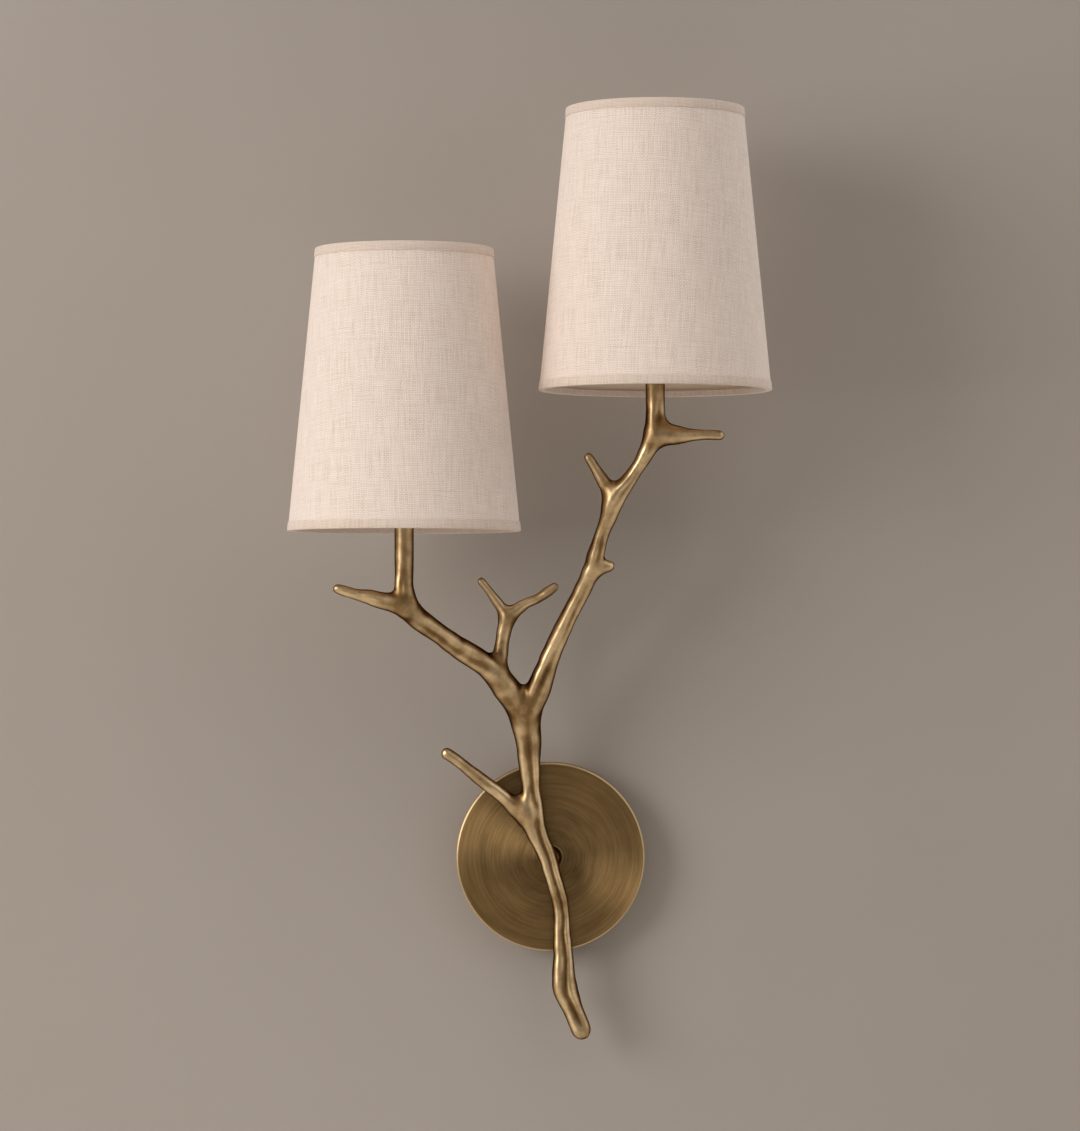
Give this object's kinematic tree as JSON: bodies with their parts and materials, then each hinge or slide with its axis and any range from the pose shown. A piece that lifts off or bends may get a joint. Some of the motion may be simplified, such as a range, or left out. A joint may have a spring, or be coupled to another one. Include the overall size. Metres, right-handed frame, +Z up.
{
  "type": "double arm wall sconce",
  "caption": "Wall light: a cast brass branch on a round wall plate carries tapered linen shades over candelabra lampholders",
  "frame": {"origin": "centre of the round wall plate, on the plane of the wall", "axes": "+Z up, -Y out of the wall, +X to the right of someone facing the wall"},
  "size_m": [0.3173, 0.1885, 0.6136],
  "materials": {
    "cast_brass": "antique satin, hand rubbed",
    "brushed_brass": "antique, turned brushing",
    "turned_brass": "antique satin",
    "raw_brass": "plain",
    "zinc_steel": "zinc plated",
    "dark_steel": "bronzed",
    "green_screw": "green",
    "black_plastic": "moulded",
    "connector_plastic": "moulded",
    "lead_jacket": "clear over copper",
    "block_insulator": "unglazed porcelain look",
    "linen": "natural linen weave",
    "linen_tape": "folded linen tape",
    "shade_lining": "stiff lining",
    "frame_wire": "off-white enamel",
    "cap_metal": "nickel",
    "lamp_glass": "clear",
    "filament_metal": "wire"
  },
  "bodies": {
    "fixture": {"wall_bracket": "zinc_steel", "ground_screw": "green_screw", "canopy": "brushed_brass", "canopy_set_screws": "dark_steel", "threaded_nipple": "raw_brass", "strength_washer": "zinc_steel", "lock_washer": "zinc_steel", "nipple_nut": "raw_brass", "nipple_bushing": "black_plastic", "standoff_collar": "turned_brass", "wire_connectors": "connector_plastic", "trunk_casting": "cast_brass", "left_limb_casting": "cast_brass", "right_limb_casting": "cast_brass", "left_spigot": "raw_brass", "right_spigot": "raw_brass", "left_stem": "turned_brass", "right_stem": "turned_brass", "left_lead": "lead_jacket", "right_lead": "lead_jacket", "left_holder_nipple": "raw_brass", "left_holder_base": "turned_brass", "left_contact_block": "block_insulator", "left_terminal_screws": "raw_brass", "left_centre_contact": "raw_brass", "left_screw_shell": "raw_brass", "left_holder_shell": "turned_brass", "right_holder_nipple": "raw_brass", "right_holder_base": "turned_brass", "right_contact_block": "block_insulator", "right_terminal_screws": "raw_brass", "right_centre_contact": "raw_brass", "right_screw_shell": "raw_brass", "right_holder_shell": "turned_brass"},
    "left_shade": {"left_shade_cover": "linen", "left_shade_liner": "shade_lining", "left_top_trim": "linen_tape", "left_bottom_trim": "linen_tape", "left_top_wire": "frame_wire", "left_bottom_wire": "frame_wire", "left_fitter_ring": "frame_wire", "left_fitter_arms": "frame_wire"},
    "left_ring": {"left_shade_ring": "turned_brass"},
    "left_lamp_cap": {"left_bulb_cap": "cap_metal"},
    "left_lamp": {"left_bulb_glass": "lamp_glass", "left_bulb_filament": "filament_metal"},
    "right_shade": {"right_shade_cover": "linen", "right_shade_liner": "shade_lining", "right_top_trim": "linen_tape", "right_bottom_trim": "linen_tape", "right_top_wire": "frame_wire", "right_bottom_wire": "frame_wire", "right_fitter_ring": "frame_wire", "right_fitter_arms": "frame_wire"},
    "right_ring": {"right_shade_ring": "turned_brass"},
    "right_lamp_cap": {"right_bulb_cap": "cap_metal"},
    "right_lamp": {"right_bulb_glass": "lamp_glass", "right_bulb_filament": "filament_metal"}
  },
  "joints": [
    {"name": "left_shade_turn", "type": "hinge", "parent": "fixture", "child": "left_shade", "pos_m": [-0.096, -0.112, 0.2176], "axis": [0, 0, 1], "continuous": true},
    {"name": "left_ring_turn", "type": "hinge", "parent": "fixture", "child": "left_ring", "pos_m": [-0.096, -0.112, 0.2176], "axis": [0, 0, 1], "range_deg": [0, 2430]},
    {"name": "left_lamp_rise", "type": "slide", "parent": "fixture", "child": "left_lamp_cap", "axis": [0, 0, 1], "range_m": [0, 0.0108]},
    {"name": "left_lamp_turn", "type": "hinge", "parent": "left_lamp_cap", "child": "left_lamp", "pos_m": [-0.096, -0.112, 0.2176], "axis": [0, 0, 1], "range_deg": [0, 1530]},
    {"name": "right_shade_turn", "type": "hinge", "parent": "fixture", "child": "right_shade", "pos_m": [0.0683, -0.112, 0.3097], "axis": [0, 0, 1], "continuous": true},
    {"name": "right_ring_turn", "type": "hinge", "parent": "fixture", "child": "right_ring", "pos_m": [0.0683, -0.112, 0.3097], "axis": [0, 0, 1], "range_deg": [0, 2430]},
    {"name": "right_lamp_rise", "type": "slide", "parent": "fixture", "child": "right_lamp_cap", "axis": [0, 0, 1], "range_m": [0, 0.0108]},
    {"name": "right_lamp_turn", "type": "hinge", "parent": "right_lamp_cap", "child": "right_lamp", "pos_m": [0.0683, -0.112, 0.3097], "axis": [0, 0, 1], "range_deg": [0, 1530]}
  ],
  "couplings": [
    {"joint": "left_lamp_rise", "follows": "left_lamp_turn", "m_per_rad": 0.00040425},
    {"joint": "right_lamp_rise", "follows": "right_lamp_turn", "m_per_rad": 0.00040425}
  ]
}
